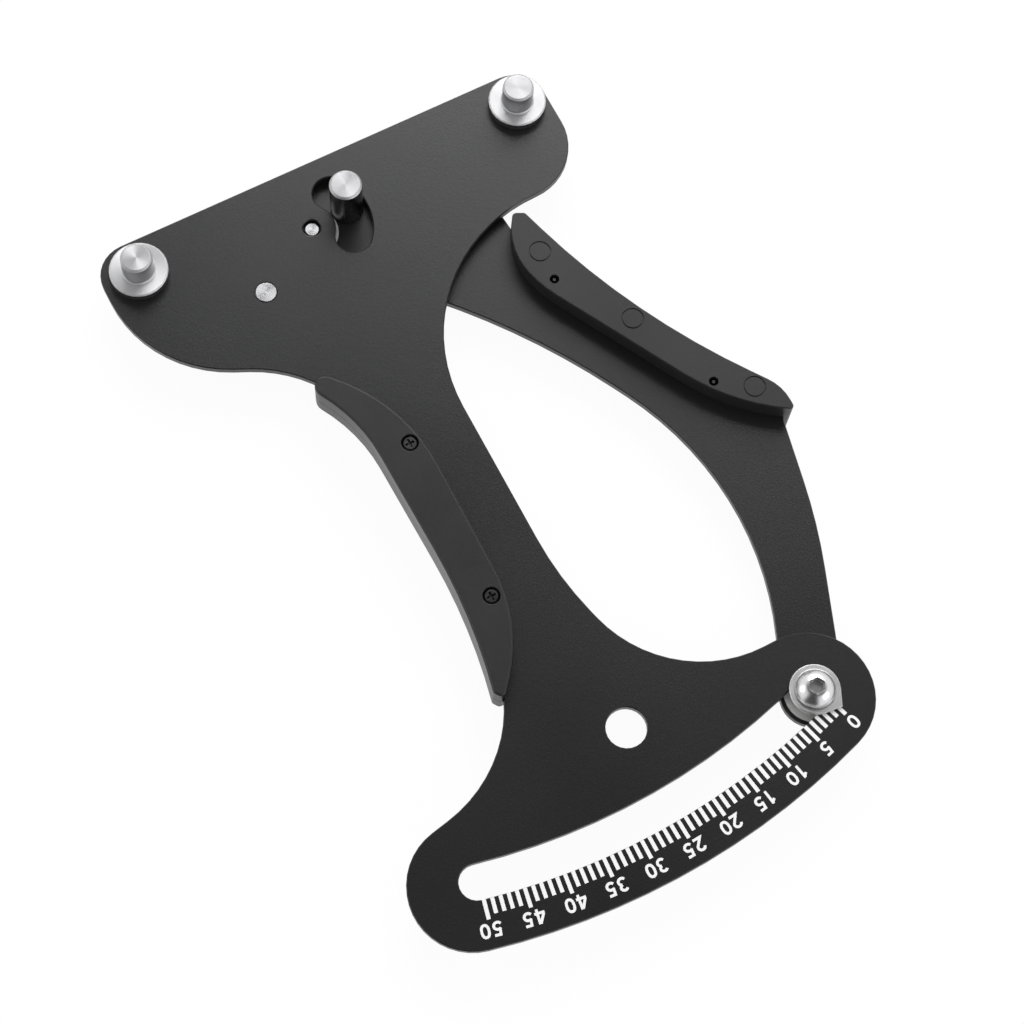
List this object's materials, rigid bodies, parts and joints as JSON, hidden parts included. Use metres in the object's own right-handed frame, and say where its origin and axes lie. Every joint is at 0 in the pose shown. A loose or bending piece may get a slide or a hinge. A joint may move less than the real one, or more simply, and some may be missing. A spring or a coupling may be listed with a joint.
{
  "type": "spoke tension meter",
  "caption": "Flat hand tool that bends a wheel spoke between fixed posts and a sprung lever's post, and shows its tension with a pointer on an arc scale.",
  "frame": {"origin": "centre of the bounding box's bottom, where the tool lies on its back", "axes": "+Z out of the front face of the plates, along the posts; +Y from the scale to the posts, along the tool; +X to the lever's side"},
  "size_m": [0.1568, 0.2276, 0.0242],
  "materials": {
    "black_plate": "fine matt black coating on steel plate",
    "black_plastic": "black moulded plastic with a fine grain",
    "black_steel": "blackened steel",
    "turned_steel": "bright turned steel",
    "polished_steel": "polished stainless steel",
    "grey_steel": "plain grey zinc-plated steel",
    "spring_steel": "drawn spring wire",
    "bronze": "sintered bronze",
    "white_nylon": "natural nylon"
  },
  "bodies": {
    "frame": {"frame_plate": "black_plate", "frame_grip_front": "black_plastic", "frame_grip_rear": "black_plastic", "frame_grip_screw_1": "black_steel", "frame_grip_screw_2": "black_steel", "left_post": "turned_steel", "left_post_washer": "grey_steel", "left_post_nut": "grey_steel", "right_post": "turned_steel", "right_post_washer": "grey_steel", "right_post_nut": "grey_steel", "pivot_screw": "turned_steel", "pivot_spacer": "white_nylon", "spring_anchor_pin": "turned_steel", "return_spring": "spring_steel"},
    "lever": {"lever_plate": "black_plate", "lever_grip_front": "black_plastic", "lever_grip_rear": "black_plastic", "lever_grip_screw_1": "black_steel", "lever_grip_screw_2": "black_steel", "centre_post": "turned_steel", "centre_post_washer": "grey_steel", "centre_post_nut": "grey_steel", "pivot_bush": "bronze", "spring_tail_pin": "grey_steel", "pointer": "turned_steel", "pointer_screw": "polished_steel", "pointer_bushing": "black_steel", "pointer_spacer": "white_nylon", "pointer_washer": "grey_steel", "pointer_nut": "grey_steel"}
  },
  "joints": [
    {"name": "lever_pivot", "type": "hinge", "parent": "frame", "child": "lever", "pos_m": [-0.01549, 0.09489, 0.0126], "axis": [0, 0, 1], "range_deg": [-31.35, 0], "stiffness_Nm_per_rad": 1.2, "springref_deg": 3.78, "deforming": ["return_spring"]}
  ]
}
